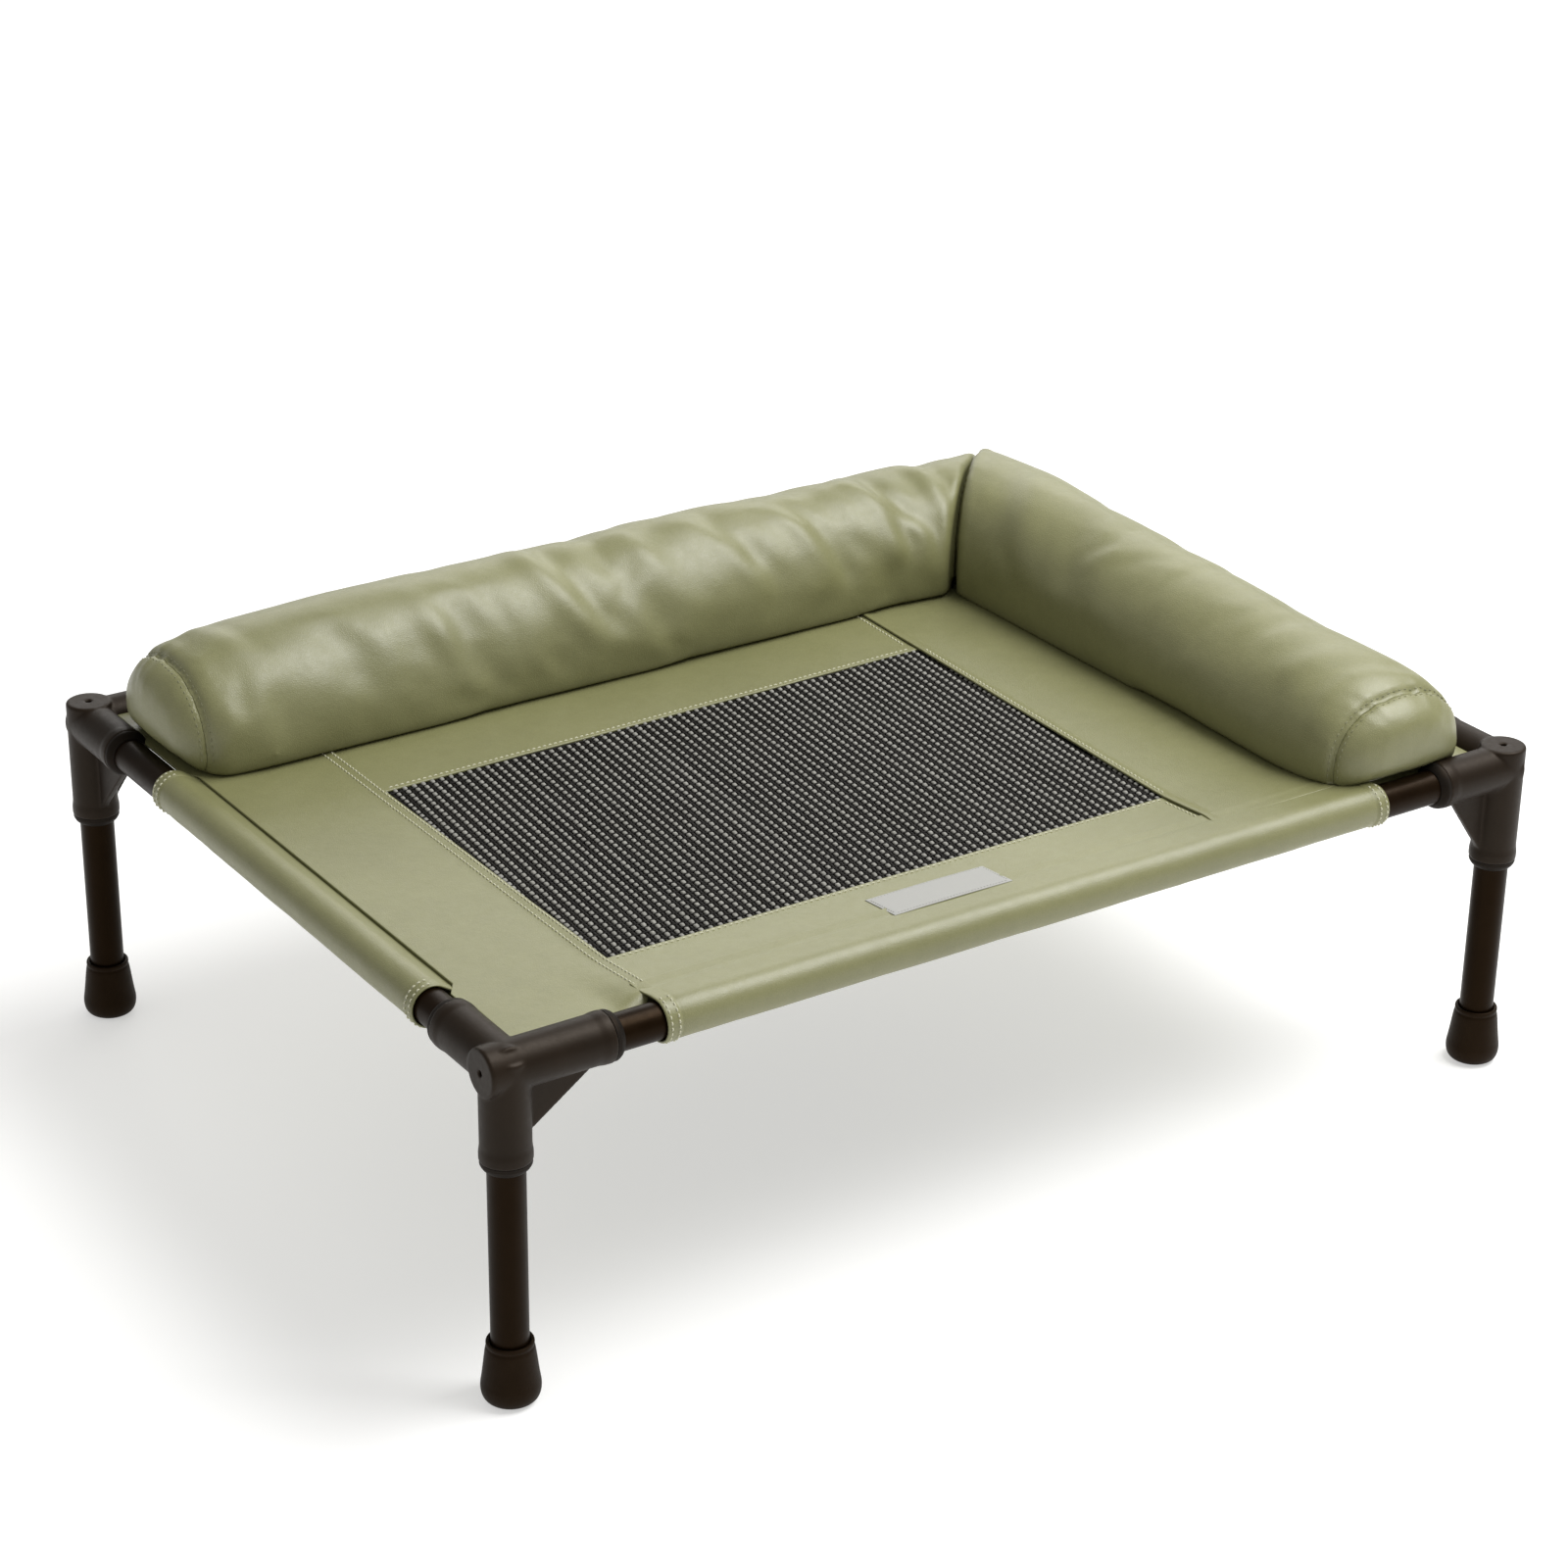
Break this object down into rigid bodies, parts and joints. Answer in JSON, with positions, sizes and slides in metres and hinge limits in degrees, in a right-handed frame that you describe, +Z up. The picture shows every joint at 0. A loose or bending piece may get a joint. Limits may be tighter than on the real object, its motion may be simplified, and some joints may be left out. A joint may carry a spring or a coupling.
{
  "type": "raised dog bed with bolsters",
  "caption": "Raised dog bed: dark tube frame on legs with rubber feet, green leather deck with a mesh window, and an L-shaped stuffed bolster.",
  "frame": {"origin": "on the floor, under the middle of the four feet", "axes": "+X along the long side towards the end with the short bolster, +Y towards the long bolster at the back, +Z up"},
  "size_m": [0.7666, 0.5746, 0.297],
  "materials": {
    "tube_paint": "satin dark brown powder coat",
    "connector_plastic": "fine moulded texture, slightly worn edges",
    "ring_rubber": "matt black",
    "foot_rubber": "matt moulded rubber",
    "green_leather": "smooth coated leather, soft sheen, fine grain",
    "mesh_fabric": "black coated mesh with paler yarns",
    "label_cloth": "blank woven label",
    "fibre_filling": "loose white fibre"
  },
  "bodies": {
    "root": {"bolster_back_cover": "green_leather", "bolster_back_end_cap": "green_leather", "bolster_back_fill": "fibre_filling", "bolster_right_cover": "green_leather", "bolster_right_end_cap": "green_leather", "bolster_right_fill": "fibre_filling", "connector_back_left": "connector_plastic", "connector_back_right": "connector_plastic", "connector_front_left": "connector_plastic", "connector_front_right": "connector_plastic", "deck_back_panel": "green_leather", "deck_front_panel": "green_leather", "deck_left_panel": "green_leather", "deck_right_panel": "green_leather", "foot_back_left": "foot_rubber", "foot_back_right": "foot_rubber", "foot_front_left": "foot_rubber", "foot_front_right": "foot_rubber", "leg_back_left": "tube_paint", "leg_back_right": "tube_paint", "leg_front_left": "tube_paint", "leg_front_right": "tube_paint", "mesh_window": "mesh_fabric", "rail_back": "tube_paint", "rail_front": "tube_paint", "rail_left": "tube_paint", "rail_right": "tube_paint", "sleeve_back": "green_leather", "sleeve_front": "green_leather", "sleeve_left": "green_leather", "sleeve_right": "green_leather", "socket_rings": "ring_rubber", "woven_label": "label_cloth"}
  },
  "joints": []
}
